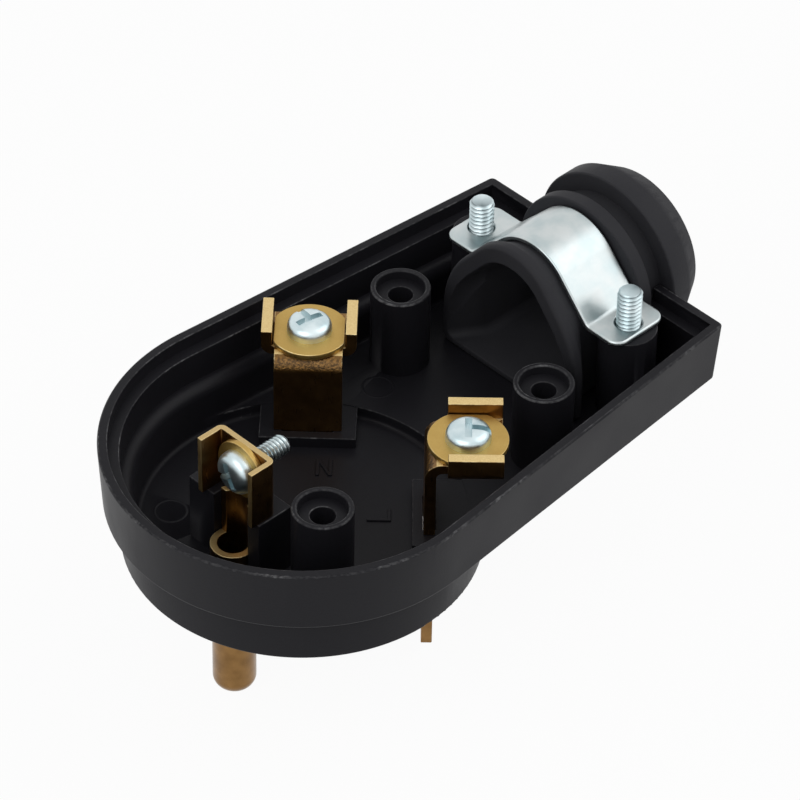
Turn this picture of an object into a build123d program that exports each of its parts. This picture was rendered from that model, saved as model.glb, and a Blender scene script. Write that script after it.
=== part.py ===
from build123d import *
import os
from math import cos, radians, sin, tan

# Open base half of a three-pin 30 A caravan power plug, in millimetres.
# The origin is the centre of the round plug face. +Z runs from that face up to the open side, where the
# terminals are, and +X from the rounded nose to the cable entry. The pins point down.

# Housing: plan and levels
nose_radius = 32.5        # rim, outer edge
body_length = 69.0        # nose centre to the rear wall's outer face
side_lean = 5.0           # each side leans in towards the rear, degrees
rim_height = 20.4         # plug face to rim
skirt_height = 11.4       # drafted outer wall below the rim
skirt_draft = 3.2         # degrees
corner_radius = 0.9       # rear corners
skirt_edge_radius = 0.5   # lower edge of the outer wall
rim_edge_radius = 0.35
rim_width = 1.65          # flat top of the rim
rabbet_width = 1.85       # step that takes the cover's lip
rabbet_depth = 2.5
ledge_depth = 8.1         # rim to the ledge inside
ledge_edge_radius = 2.1
compartment_inset = 5.8   # rim's outer edge to the lower inner wall
lower_wall = 2.5          # wall of the lower body
rear_floor = 4.9          # floor of the rear compartment above the plug face
rear_floor_thickness = 2.0
lower_edge_radius = 4.0   # rounded underside of the rear part
floor_corner_radius = 0.8
well_floor = 2.8          # floor of the round well, which is the thickness of the plug face
face_edge_radius = 0.4

# Cover-screw bosses
boss_diameter = 10.0
boss_drop = 0.3           # boss top below the rim
boss_recess_diameter = 8.1
boss_recess_depth = 1.7
boss_hole_diameter = 4.1
boss_lip_radius = 0.3     # both edges of the ring round the recess
screw_pocket_diameter = 7.6
screw_pocket_depth = 4.0
rear_boss_setback = 31.4  # rear wall's outer face to the rear pair
rear_boss_spacing = 33.0
front_boss_inset = 10.25  # well wall to the front boss's centre
front_boss_angle = 57.7   # from the nose towards the right, degrees

# Brass strip of the line and neutral contacts
strip = 1.8
bend_radius = 1.0         # inside of every bend in the strip
plate_width = 11.1
plate_inset = 7.35        # well wall to the plate's inner face
blade_width = 8.0
blade_length = 21.8       # below the plug face
blade_corner = 1.6
pedestal_width = 15.9
pedestal_height = 2.0
pedestal_front = 1.8      # stands in front of the plate
platform_drop = 0.75      # platform top below the rim
fold_radius = 0.2         # inside of the sharp folds of the ears
ear_length = 8.8
ear_outset = 1.2          # ears' middle beyond the terminal screw
ear_rise = 2.9            # ear top above the platform
terminal_reach = 5.9      # plate's middle to the terminal screw
contact_angle = 44.3      # each side of the centre line

# Brass sheet of the ground contact
sheet = 1.0
pin_diameter = 7.1
pin_length = 23.4         # below the plug face
pin_tip_radius = 2.3
pin_groove = 0.25         # depth of the groove that parts the free end from the stem
pin_groove_reach = 0.5    # groove, above and below the plug face
stem_swell = 0.2          # stem stands out this much from the free end
pin_top = 7.4             # upper end of the rolled pin
pin_inset = 11.65         # well wall to the pin's centre
neck_rise = 0.8           # neck's upper end above the block that carries the plate
neck_cut = 0.8            # open side of the neck behind the pin's centre
ground_width = 12.5
ground_seat_drop = 5.0    # top of the plastic block that carries the plate, below the rim
ground_top_rise = 6.0     # plate top above the rim
ground_ear_length = 5.2
block_front = 0.5         # block's front face ahead of the pin's centre
block_rear = 6.4          # block's rear face behind the pin's centre
block_right = 6.6
block_left = 9.7

# Terminal screws and washers
screw_head_diameter = 7.4
screw_head_height = 2.4
screw_diameter = 3.5
terminal_screw_length = 7.0
ground_screw_length = 9.6
ground_screw_rise = 1.2   # screw axis above the rim
screw_head_round = 1.2
screw_point = 0.5         # chamfer at a screw's tip
recess_width = 1.0
recess_depth = 1.1
recess_span = 4.4         # cross wings, end to end
neutral_slot_turn = 35.0  # slot of a terminal screw, degrees from outwards
line_slot_turn = 0.0
washer_diameter = 13.0
washer_flats = 11.5
washer_thickness = 1.0

# Cord clamp
strap = 1.0
strap_width = 11.6
strap_setback = 12.4      # rear wall's outer face to the strap's middle
strap_half_length = 20.0
strap_rise = 1.7          # ear top above the rim
strap_crown_rise = 9.7    # crown above the ear tops
strap_crown_radius = 9.5  # outside
strap_foot_radius = 1.2   # inside of the foot bends
strap_flank = 47.0        # degrees
ear_corner_radius = 2.3
clamp_screw_diameter = 4.2
left_screw_rise = 5.5     # tip above the ear top
right_screw_rise = 6.6
clamp_head_diameter = 7.6
clamp_head_height = 2.6
clamp_head_round = 1.0
clamp_pocket_depth = 5.0
pillar_diameter = 9.6

# Rubber grommet
grommet_axis_drop = 1.75  # axis below the rim
sleeve_half_width = 11.9
sleeve_wall = 2.5
sleeve_shoulder = 6.0     # rounding between the flanks and the upright sides
sleeve_foot_radius = 1.6
lip_front_gap = 4.6       # strap's front edge to the lip's front face
lip_flat = 1.8            # length of the lip at full size
lip_rise = 1.3            # lip above the strap's seat
lip_half_width = 15.4
lip_crown_radius = 10.0
lip_flank = 50.0          # degrees
lip_shoulder = 19.0
lip_wall = 1.4            # at the sides and the bottom of the mouth
lip_crown_wall = 3.3      # at the crown
lip_edge_radius = 0.8     # front face, outer edge
mouth_crown_radius = 8.0
mouth_shoulder = 18.0
collar_radius = 14.0
collar_length = 2.5
neck_radius = 12.2
flange_radius = 15.4
flange_straight = 3.7     # length before it tapers
flange_end_radius = 12.8
flange_length = 8.0
flange_edge_radius = 0.35
cable_bore_radius = 8.5

# Clearances
blade_play = 0.1
pin_play = 0.1
screw_play = 0.1
head_play = 0.2           # round a screw head in its pocket
washer_hole_play = 0.2
washer_play = 0.2
grommet_play = 0.15
pillar_play = 0.2

# Helpers of the modelling
past = 1.0                # cuts and joined solids run this far past their faces
near = 0.01               # tolerance for picking edges and corners

# Worked-out levels and places
lean_sin = sin(radians(side_lean))
lean_cos = cos(radians(side_lean))
skirt_bottom = rim_height - skirt_height
skirt_inset = skirt_height * tan(radians(skirt_draft))
tray_inset = rim_width + rabbet_width
ledge_z = rim_height - ledge_depth
lower_inset = compartment_inset - lower_wall
rear_underside = rear_floor - rear_floor_thickness
well_radius = nose_radius - compartment_inset
face_radius = nose_radius - lower_inset
boss_top = rim_height - boss_drop
rear_boss_x = body_length - rear_boss_setback
front_boss_reach = well_radius - front_boss_inset
front_boss_x = -front_boss_reach * cos(radians(front_boss_angle))
front_boss_y = -front_boss_reach * sin(radians(front_boss_angle))
boss_places = [
    (rear_boss_x, rear_boss_spacing / 2, rear_floor, rear_underside),
    (rear_boss_x, -rear_boss_spacing / 2, rear_floor, rear_underside),
    (front_boss_x, front_boss_y, well_floor, 0),
]

plate_face = well_radius - plate_inset
pedestal_top = well_floor + pedestal_height
platform_top = rim_height - platform_drop
terminal_u = plate_face + strip / 2 + terminal_reach
washer_top = platform_top + washer_thickness

pin_radius = pin_diameter / 2
groove_radius = pin_radius - pin_groove
stem_radius = pin_radius + stem_swell
pin_x = -(well_radius - pin_inset)
ground_plate_rear = pin_x + pin_radius
ground_plate_front = ground_plate_rear - sheet
ground_seat = rim_height - ground_seat_drop
ground_top = rim_height + ground_top_rise
ground_screw_z = rim_height + ground_screw_rise

strap_x = body_length - strap_setback
strap_ear_top = rim_height + strap_rise
strap_ear_under = strap_ear_top - strap
pillar_y = sleeve_half_width + pillar_play + pillar_diameter / 2
clamp_head_seat = rear_underside + clamp_pocket_depth

axis_z = rim_height - grommet_axis_drop
wall_inner_x = body_length - tray_inset
sleeve_front = strap_x - strap_width / 2 - lip_front_gap
lip_crown_z = strap_ear_top + strap_crown_rise - strap + lip_rise


def outline(inset, rear_inset=None):
    """Plan of the housing, moved in from the rim's outer edge: a round nose and two leaning sides."""
    radius = nose_radius - inset
    rear_x = body_length - (inset if rear_inset is None else rear_inset)
    rear_y = (radius - rear_x * lean_sin) / lean_cos
    side_start = (radius * lean_sin, radius * lean_cos)
    nose = ThreePointArc(side_start, (-radius, 0), (side_start[0], -side_start[1]))
    sides = Polyline(nose @ 1, (rear_x, -rear_y), (rear_x, rear_y), nose @ 0)
    return make_face(nose + sides)


def rising(solid):
    """Edges that climb from the bottom of a solid towards its top, at its rear end."""
    near_rear = body_length - tray_inset - corner_radius
    return [edge for edge in solid.edges() if edge.center().X > near_rear
            and abs((edge @ 1).Z - (edge @ 0).Z) > corner_radius]


def lowest(solid):
    return solid.faces().sort_by(Axis.Z)[0].edges()


def column(diameter, x, y, bottom, top):
    return Pos(x, y, bottom) * extrude(Circle(diameter / 2), top - bottom)


def block(x_from, x_to, y_from, y_to, z_from, z_to):
    middle = Pos((x_from + x_to) / 2, (y_from + y_to) / 2, (z_from + z_to) / 2)
    return middle * Box(x_to - x_from, y_to - y_from, z_to - z_from)


def at_contact(shape, side):
    """Turn a piece from the local frame of a contact, where +X is outwards, to its own side."""
    return Rot(0, 0, side * contact_angle) * shape


def outer_body():
    skirt = Pos(0, 0, skirt_bottom) * extrude(outline(skirt_inset), skirt_height, taper=-skirt_draft)
    skirt = fillet(rising(skirt), corner_radius)
    skirt = fillet(lowest(skirt), skirt_edge_radius)
    skirt = fillet(skirt.faces().sort_by(Axis.Z)[-1].edges(), rim_edge_radius)
    overlap = skirt_edge_radius + past
    lower = Pos(0, 0, rear_underside) * extrude(
        outline(lower_inset, skirt_inset), skirt_bottom + overlap - rear_underside)
    lower = fillet(lowest(lower), lower_edge_radius)
    face = extrude(Circle(face_radius), skirt_bottom + overlap)
    face = fillet(lowest(face), face_edge_radius)
    return skirt + lower + face


def interior():
    """The hollow of the housing: rabbet, tray, rear compartment and round well."""
    rabbet = Pos(0, 0, rim_height - rabbet_depth) * extrude(outline(rim_width), rabbet_depth + past)
    tray = Pos(0, 0, ledge_z) * extrude(outline(tray_inset), ledge_depth)
    compartment = Pos(0, 0, rear_floor) * extrude(
        outline(compartment_inset, tray_inset), ledge_z - rear_floor)
    compartment = fillet(lowest(compartment), floor_corner_radius)
    well = Pos(0, 0, well_floor) * extrude(Circle(well_radius), ledge_z - well_floor)
    well = fillet(lowest(well), floor_corner_radius)
    return rabbet + tray + compartment + well


def soften_ledge(body):
    """Round the inner edge of the ledge, along the sides and the nose."""
    at_ledge = body.edges().filter_by_position(Axis.Z, ledge_z - near, ledge_z + near)
    inner_edge = outline(compartment_inset, tray_inset).edges()
    inner = [edge for edge in at_ledge
             if edge.center().X < wall_inner_x - near
             and min((Pos(0, 0, ledge_z) * line).distance_to(edge @ 0.5) for line in inner_edge) < near]
    return fillet(inner, ledge_edge_radius)


def housing():
    body = soften_ledge(outer_body() - interior())
    for x, y, floor, _ in boss_places:
        body += column(boss_diameter, x, y, floor - floor_corner_radius, boss_top)
    for side in (1, -1):
        body += column(pillar_diameter, strap_x, side * pillar_y, rear_floor - past, strap_ear_under)
        pedestal = block(plate_face - pedestal_front, well_radius, -pedestal_width / 2,
                         pedestal_width / 2, well_floor - past, pedestal_top)
        body += at_contact(pedestal, side)
    body += block(pin_x - block_front, pin_x + block_rear, -block_right, block_left,
                  well_floor - past, ground_seat)
    body -= housing_holes()
    lips = body.edges().filter_by_position(Axis.Z, boss_top - near, boss_top + near)
    return fillet(lips, boss_lip_radius)


def housing_holes():
    through = strap_ear_top
    holes = []
    for x, y, _, underside in boss_places:
        holes.append(column(boss_hole_diameter, x, y, -past, through))
        holes.append(column(boss_recess_diameter, x, y, boss_top - boss_recess_depth, through))
        holes.append(column(screw_pocket_diameter, x, y, -past, underside + screw_pocket_depth))
    clamp_hole = clamp_screw_diameter + 2 * screw_play
    pocket = clamp_head_diameter + 2 * head_play
    for side in (1, -1):
        holes.append(column(clamp_hole, strap_x, side * pillar_y, -past, through))
        holes.append(column(pocket, strap_x, side * pillar_y, -past, clamp_head_seat))
        slot = block(plate_face - blade_play, plate_face + strip + blade_play,
                     -blade_width / 2 - blade_play, blade_width / 2 + blade_play,
                     -past, pedestal_top + past)
        holes.append(at_contact(slot, side))
    bore = stem_radius + pin_play
    holes.append(column(2 * bore, pin_x, 0, -past, ground_seat + past))
    holes.append(block(pin_x - block_front - past, ground_plate_rear + pin_play, -bore, bore,
                       well_floor, ground_seat + past))
    notch_radius = neck_radius + grommet_play
    notch = Circle(notch_radius) + Pos(0, notch_radius) * Rectangle(2 * notch_radius, 2 * notch_radius)
    notch = extrude(notch, tray_inset + 2 * past)
    holes.append(Plane.YZ.offset(wall_inner_x - past) * Pos(0, axis_z, 0) * notch)
    return holes


def platform_ears():
    """Terminal platform with its two upturned ears, in a contact's local frame."""
    outer = washer_flats / 2 + washer_play + strip
    profile = Polyline((-outer, ear_rise), (-outer, -strip), (outer, -strip), (outer, ear_rise),
                       (outer - strip, ear_rise), (outer - strip, 0), (-outer + strip, 0),
                       (-outer + strip, ear_rise), close=True)
    channel = make_face(profile)
    low = channel.vertices().filter_by_position(Axis.Y, -strip - near, -strip + near)
    channel = fillet(low, fold_radius + strip)
    inner = channel.vertices().filter_by_position(Axis.Y, -near, near)
    channel = fillet(inner, fold_radius)
    start = terminal_u + ear_outset - ear_length / 2
    return Plane.YZ.offset(start) * Pos(0, platform_top, 0) * extrude(channel, ear_length)


def blade_contact():
    """Line or neutral contact: blade, plate, bend and terminal platform of one strip."""
    end_u = terminal_u + ear_outset + ear_length / 2
    profile = Polyline((plate_face, pedestal_top), (plate_face, platform_top), (end_u, platform_top),
                       (end_u, platform_top - strip), (plate_face + strip, platform_top - strip),
                       (plate_face + strip, pedestal_top), close=True)
    section = make_face(profile)
    corner = section.vertices().sort_by_distance((plate_face, platform_top, 0))[0]
    section = fillet(corner, bend_radius + strip)
    corner = section.vertices().sort_by_distance((plate_face + strip, platform_top - strip, 0))[0]
    section = fillet(corner, bend_radius)
    bent = Plane.XZ.offset(-plate_width / 2) * extrude(section, plate_width)
    blade = block(plate_face, plate_face + strip, -blade_width / 2, blade_width / 2,
                  -blade_length, pedestal_top + strip)
    tip = [edge for edge in lowest(blade) if abs(edge.center().Y) > blade_width / 2 - near]
    blade = chamfer(tip, blade_corner)
    hole = column(screw_diameter + 2 * screw_play, terminal_u, 0, platform_top - 2 * strip, rim_height)
    return bent + blade + platform_ears() - hole


def ground_contact():
    """Rolled pin, neck, terminal plate and two ears, all of one sheet."""
    bore = pin_radius - sheet
    wall = Polyline((0, -pin_length), (pin_radius, -pin_length), (pin_radius, -pin_groove_reach),
                    (groove_radius, -pin_groove_reach), (groove_radius, pin_groove_reach),
                    (stem_radius, pin_groove_reach), (stem_radius, pin_top), (bore, pin_top),
                    (bore, sheet - pin_length), (0, sheet - pin_length), close=True)
    section = make_face(wall)
    section = fillet(section.vertices().sort_by_distance((pin_radius, -pin_length, 0))[0], pin_tip_radius)
    section = fillet(section.vertices().sort_by_distance((bore, sheet - pin_length, 0))[0],
                     pin_tip_radius - sheet)
    pin = Pos(pin_x, 0, 0) * revolve(Plane.XZ * section, Axis.Z)
    ring = Circle(stem_radius) - Circle(bore)
    neck = Pos(pin_x, 0, pin_groove_reach) * extrude(ring, ground_seat + neck_rise - pin_groove_reach)
    neck -= block(pin_x - pin_diameter, pin_x + neck_cut, -pin_diameter, pin_diameter, pin_top, rim_height)
    return pin + neck + ground_plate()


def ground_plate():
    outer = ground_width / 2
    ear_front = ground_plate_rear - ground_ear_length
    profile = Polyline((ear_front, outer), (ground_plate_rear, outer), (ground_plate_rear, -outer),
                       (ear_front, -outer), (ear_front, sheet - outer), (ground_plate_front, sheet - outer),
                       (ground_plate_front, outer - sheet), (ear_front, outer - sheet), close=True)
    section = make_face(profile)
    for side in (1, -1):
        corner = section.vertices().sort_by_distance((ground_plate_rear, side * outer, 0))[0]
        section = fillet(corner, sheet + fold_radius)
        inside = (ground_plate_front, side * (outer - sheet), 0)
        section = fillet(section.vertices().sort_by_distance(inside)[0], fold_radius)
    plate = Pos(0, 0, ground_seat) * extrude(section, ground_top - ground_seat)
    hole = extrude(Circle(screw_diameter / 2 + screw_play), sheet + past, both=True)
    return plate - Plane.YZ.offset(ground_plate_front) * Pos(0, ground_screw_z, 0) * hole


def pan_screw(head_diameter, head_height, diameter, length):
    """Pan-head screw with its head on the XY plane, shank down, and a combined slot and cross recess."""
    head = extrude(Circle(head_diameter / 2), head_height)
    head = fillet(head.faces().sort_by(Axis.Z)[-1].edges(), screw_head_round)
    shank = Pos(0, 0, -length) * extrude(Circle(diameter / 2), length)
    shank = chamfer(lowest(shank), screw_point)
    slot = Box(head_diameter + past, recess_width, 2 * recess_depth)
    cross = Box(recess_width, recess_span, 2 * recess_depth)
    return head + shank - Pos(0, 0, head_height) * (slot + cross)


def terminal_washer():
    disc = Circle(washer_diameter / 2) & Rectangle(washer_diameter, washer_flats)
    ring = disc - Circle(screw_diameter / 2 + washer_hole_play)
    return Pos(terminal_u, 0, platform_top) * extrude(ring, washer_thickness)


def ground_washer():
    diameter = ground_width - 2 * (sheet + washer_play)
    ring = Circle(diameter / 2) - Circle(screw_diameter / 2 + washer_hole_play)
    washer = extrude(ring, -washer_thickness)
    return Plane.YZ.offset(ground_plate_front) * Pos(0, ground_screw_z, 0) * washer


def cord_clamp():
    """Strap bent over the grommet, with an ear each side."""
    half = strap / 2
    ear_z = strap_ear_top - half
    crown_radius = strap_crown_radius - half
    crown_z = strap_ear_top + strap_crown_rise - half
    flank = radians(strap_flank)
    apex_z = crown_z + crown_radius * (1 / cos(flank) - 1)
    foot_y = (apex_z - ear_z) / tan(flank)
    foot_radius = strap_foot_radius + half
    line = FilletPolyline((-strap_half_length, ear_z), (-foot_y, ear_z), (0, apex_z), (foot_y, ear_z),
                          (strap_half_length, ear_z), radius=[foot_radius, crown_radius, foot_radius])
    section = trace(line, strap)
    bent = Plane.YZ.offset(strap_x - strap_width / 2) * extrude(section, strap_width)
    corners = [edge for edge in bent.edges().filter_by(Axis.Z)
               if abs(edge.center().Y) > strap_half_length - near]
    bent = fillet(corners, ear_corner_radius)
    holes = [column(clamp_screw_diameter + 2 * screw_play, strap_x, side * pillar_y,
                    strap_ear_under - past, strap_ear_top + past) for side in (1, -1)]
    return bent - holes


def clamp_screw(side, rise):
    length = strap_ear_top + rise - clamp_head_seat
    head = Pos(0, 0, -clamp_head_height) * extrude(Circle(clamp_head_diameter / 2), clamp_head_height)
    head = fillet(lowest(head), clamp_head_round)
    shank = extrude(Circle(clamp_screw_diameter / 2), length)
    shank = chamfer(shank.faces().sort_by(Axis.Z)[-1].edges(), screw_point)
    slot = Pos(0, 0, -clamp_head_height) * Box(clamp_head_diameter + past, recess_width, 2 * recess_depth)
    return Pos(strap_x, side * pillar_y, clamp_head_seat) * (head + shank - slot)


def arch(half_width, crown_z, crown_radius, flank, shoulder, bottom_z):
    """Section of the rubber sleeve: flat bottom, upright sides, sloping flanks and a round crown."""
    slope = radians(flank)
    apex_z = crown_z + crown_radius * (1 / cos(slope) - 1)
    shoulder_z = apex_z - half_width * tan(slope)
    face = make_face(Polyline((-half_width, bottom_z), (half_width, bottom_z), (half_width, shoulder_z),
                              (0, apex_z), (-half_width, shoulder_z), close=True))
    face = fillet(face.vertices().sort_by(Axis.Y)[-1], crown_radius)
    for level, radius in ((shoulder_z, shoulder), (bottom_z, sleeve_foot_radius)):
        corners = face.vertices().filter_by_position(Axis.Y, level - near, level + near)
        face = fillet(corners, radius)
    return face


def seat_section(x, wall=0):
    """Section of the sleeve under the strap, or of its hollow, a wall further in."""
    crown = strap_crown_radius - strap - grommet_play - wall
    crown_z = strap_ear_top + strap_crown_rise - strap - grommet_play - wall
    return Plane.YZ.offset(x) * arch(sleeve_half_width - wall, crown_z, crown, strap_flank,
                                     sleeve_shoulder, rear_floor + wall)


def lip_section(x):
    return Plane.YZ.offset(x) * arch(lip_half_width, lip_crown_z, lip_crown_radius, lip_flank,
                                     lip_shoulder, rear_floor)


def mouth_section(x):
    return Plane.YZ.offset(x) * arch(lip_half_width - lip_wall, lip_crown_z - lip_crown_wall,
                                     mouth_crown_radius, lip_flank, mouth_shoulder, rear_floor + lip_wall)


def cord_grommet():
    seat_front = strap_x - strap_width / 2 - grommet_play
    lip_end = sleeve_front + lip_flat
    lip = extrude(lip_section(sleeve_front), lip_flat)
    lip = fillet(lip.faces().sort_by(Axis.X)[0].edges(), lip_edge_radius)
    slope = loft([lip_section(lip_end), seat_section(seat_front)], ruled=True)
    seat_rear = wall_inner_x - collar_length - grommet_play
    seat = extrude(seat_section(seat_front), seat_rear + past - seat_front)
    body = lip + slope + seat + grommet_rings(seat_rear)
    mouth = loft([mouth_section(sleeve_front), seat_section(seat_front, sleeve_wall)], ruled=True)
    hollow = extrude(seat_section(seat_front, sleeve_wall), seat_rear - seat_front)
    bore_length = body_length + 2 * flange_length - seat_rear
    bore = extrude(Circle(cable_bore_radius), bore_length)
    bore = Plane.YZ.offset(seat_rear - past) * Pos(0, axis_z, 0) * bore
    collar_foot = rear_floor + floor_corner_radius
    below = block(seat_rear, wall_inner_x, -nose_radius, nose_radius, 0, collar_foot)
    return body - [mouth, hollow, bore, below]


def grommet_rings(collar_front):
    """Collar, neck and outer flange, turned about the cable's axis."""
    collar_rear = wall_inner_x - grommet_play
    flange_front = body_length + grommet_play
    flange_rear = flange_front + flange_length
    profile = make_face(Polyline((collar_front, 0), (collar_front, collar_radius),
                                 (collar_rear, collar_radius), (collar_rear, neck_radius),
                                 (flange_front, neck_radius), (flange_front, flange_radius),
                                 (flange_front + flange_straight, flange_radius),
                                 (flange_rear, flange_end_radius), (flange_rear, 0), close=True))
    for x, radius in ((collar_front, collar_radius), (flange_front, flange_radius),
                      (flange_rear, flange_end_radius)):
        profile = fillet(profile.vertices().sort_by_distance((x, radius, 0))[0], flange_edge_radius)
    return Pos(0, 0, axis_z) * revolve(profile, Axis.X)


def terminal_screw(slot_turn):
    screw = pan_screw(screw_head_diameter, screw_head_height, screw_diameter, terminal_screw_length)
    return Pos(terminal_u, 0, washer_top) * Rot(0, 0, slot_turn) * screw


def ground_screw():
    screw = pan_screw(screw_head_diameter, screw_head_height, screw_diameter, ground_screw_length)
    seat = ground_plate_front - washer_thickness
    return Pos(seat, 0, ground_screw_z) * Rot(0, -90, 0) * screw


nodes = {
    "housing": housing(),
    "cord_grommet": cord_grommet(),
    "cord_clamp": cord_clamp(),
    "clamp_screw_left": clamp_screw(1, left_screw_rise),
    "clamp_screw_right": clamp_screw(-1, right_screw_rise),
    "neutral_contact": at_contact(blade_contact(), 1),
    "line_contact": at_contact(blade_contact(), -1),
    "ground_contact": ground_contact(),
    "neutral_screw": at_contact(terminal_screw(neutral_slot_turn), 1),
    "line_screw": at_contact(terminal_screw(line_slot_turn), -1),
    "ground_screw": ground_screw(),
    "neutral_washer": at_contact(terminal_washer(), 1),
    "line_washer": at_contact(terminal_washer(), -1),
    "ground_washer": ground_washer(),
}

os.makedirs("parts", exist_ok=True)
for name, solid in nodes.items():
    export_step(solid, f"parts/{name}.step")
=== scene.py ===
from math import cos, pi, radians, sin

import bmesh
import bpy
from mathutils import Matrix, Vector
from mathutils.bvhtree import BVHTree


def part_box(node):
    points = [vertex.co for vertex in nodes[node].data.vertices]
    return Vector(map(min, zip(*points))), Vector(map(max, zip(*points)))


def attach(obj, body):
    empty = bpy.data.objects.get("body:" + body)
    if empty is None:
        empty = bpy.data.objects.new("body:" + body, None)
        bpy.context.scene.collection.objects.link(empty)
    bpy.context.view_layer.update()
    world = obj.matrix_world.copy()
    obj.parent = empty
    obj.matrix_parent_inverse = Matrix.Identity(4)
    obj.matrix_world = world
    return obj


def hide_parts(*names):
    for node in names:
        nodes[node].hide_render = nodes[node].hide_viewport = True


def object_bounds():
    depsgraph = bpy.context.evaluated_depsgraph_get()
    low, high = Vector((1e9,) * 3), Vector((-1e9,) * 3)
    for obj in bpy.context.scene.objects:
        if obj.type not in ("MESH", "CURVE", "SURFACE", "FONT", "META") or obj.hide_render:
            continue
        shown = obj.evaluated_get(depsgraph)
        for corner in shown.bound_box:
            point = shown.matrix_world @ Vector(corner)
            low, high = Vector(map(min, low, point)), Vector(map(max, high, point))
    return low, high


# Open base half of a caravan power plug: finishes, small hardware, light and camera, in metres.

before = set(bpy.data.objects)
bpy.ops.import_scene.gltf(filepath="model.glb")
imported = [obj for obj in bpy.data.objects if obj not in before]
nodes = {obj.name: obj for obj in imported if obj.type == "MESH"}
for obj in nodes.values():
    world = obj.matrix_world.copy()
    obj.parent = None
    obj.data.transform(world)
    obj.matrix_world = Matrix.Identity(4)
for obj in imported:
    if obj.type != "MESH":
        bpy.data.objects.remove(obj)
cad_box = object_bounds()

MM = 0.001

# Camera, as solved from the housing's own lines
CAMERA_AZIMUTH = radians(-44.873)
CAMERA_ELEVATION = radians(40.884)
CAMERA_ROLL = radians(1.118)
CAMERA_DISTANCE = 765.318 * MM
CAMERA_TARGET = Vector((17.466, -4.073, 20.4)) * MM
CAMERA_LENS = 216.06
CAMERA_SENSOR = 36
CAMERA_NEAR = 0.05            # nearest distance that it sees

# Edge rounds of the finished pieces
SHARP_ANGLE = radians(50)     # edges that turn by more than this are rounded
FLAT_ANGLE = radians(0.4)     # triangles that turn by less are one face
HOUSING_ROUND = 0.16 * MM
RUBBER_ROUND = 0.2 * MM
BRASS_ROUND = 0.14 * MM
STRAP_ROUND = 0.36 * MM
WASHER_ROUND = 0.12 * MM
ROUND_STEPS = 2
ROUND_PROFILE = 0.5           # a circular round
CORNER_LENGTH = 1.0 * MM      # shorter chains of sharp edges are no corners
CREASE_ANGLE = radians(35)    # steeper creases stay sharp in the shading
FACE_WEIGHT = 60              # how strongly large faces hold the normals at their corners
MERGE_DISTANCE = 0.0005 * MM

# Scuffed edges with a painted highlight: narrow faces on tight outer rounds that look up
NARROW = 0.35 * MM
TIGHT_RADIUS = 0.8 * MM
SCUFF_AND_HIGHLIGHT_SLOPE = 0.1              # least upward part of the normal

# Sheared faces of the contacts, from 0, as rolled, to 1, freshly cut
LEVEL = 0.95                  # least upward part of a level face's normal
SHEARED_AREA = 22 * MM * MM   # smaller level faces are sheared ends
SHEET_WIDTH = 1.15 * MM       # narrower faces between sharp edges are cut edges of thin sheet
SHEET_SHARP = 0.75            # least share of sharp edges round such a face
SHEET_LEVEL = 15 * MM         # upright ones count only above this height
SHEET_LEAN = -0.1             # least upward part of an upright one's normal
SHEET_END = 0.65              # a level cut edge
SHEET_EDGE = 0.45             # an upright cut edge

# Threaded screws. Squareness of a head: 2 is a dome, more is squarer
TERMINAL_SCREW = {"Head Height": 2.4 * MM, "Shank Diameter": 3.5 * MM, "Pitch": 0.7 * MM,
                  "Thread Depth": 0.36 * MM, "Point": 0.5 * MM, "Squareness": 3.3,
                  "Recess Width": 1.1 * MM, "Recess Depth": 1.35 * MM, "Recess Span": 4.6 * MM}
CLAMP_SCREW = {"Head Height": 2.6 * MM, "Shank Diameter": 4.2 * MM, "Pitch": 0.8 * MM,
               "Thread Depth": 0.42 * MM, "Point": 0.5 * MM, "Squareness": 3.3,
               "Recess Width": 1.0 * MM, "Recess Depth": 1.1 * MM, "Recess Span": 1.0 * MM}
SCREW_SIDES = 40
ROWS_PER_TURN = 10
HEAD_ROWS = 18
LAST_ROW = 0.99999            # points further along a grid than this lie on its axis
SLOT_REACH = 1.2              # slot's length over the head's diameter
NEUTRAL_SLOT = radians(79)
LINE_SLOT = radians(-45)
GROUND_SLOT = radians(25)

# Raised marks: L and N by the contacts, rings of the ejector pins. Places are in millimetres
LETTER = (3.9 * MM, 2.7 * MM, 0.6 * MM)   # high, wide, stroke
LETTER_SLANT = 1.6            # upright measure of N's slanting stroke over its stroke
MARK_RISE = 0.3 * MM
MARK_SINK = 0.1 * MM
MARK_ROUND = MARK_RISE / 3
LINE_MARK = (9.54, -7.77, 2.8)
LINE_MARK_TURN = radians(45.7)
NEUTRAL_MARK = (11.07, 6.68, 2.8)
NEUTRAL_MARK_TURN = radians(134.3)
EJECTOR_MARKS = ((29.73, 13.45, 4.9), (-14.0, 16.0, 2.8))
EJECTOR_RING = {"Diameter": 5.2 * MM, "Width": 0.5 * MM, "Rise": 0.05 * MM}
RING_ROWS = 7
RING_SINK = 0.1               # share of a ring's rise that lies in the floor

# Colours: a pair of tones that a surface runs between, or one tone
PLASTIC_TONES = ((0.01, 0.0097, 0.0122), (0.0142, 0.0139, 0.0168))
# scuffed edge tone, which is also a painted highlight
PLASTIC_SCUFF_AND_HIGHLIGHT = (0.145, 0.145, 0.15)
RUBBER_TONES = ((0.021, 0.021, 0.0245), (0.031, 0.031, 0.0355))
# scuffed edge tone, which is also a painted highlight
RUBBER_SCUFF_AND_HIGHLIGHT = (0.05, 0.05, 0.053)
STRAP_TONES = ((0.46, 0.53, 0.54), (0.6, 0.635, 0.635))
SCREW_TONES = ((0.48, 0.6, 0.63), (0.7, 0.79, 0.81))
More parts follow.
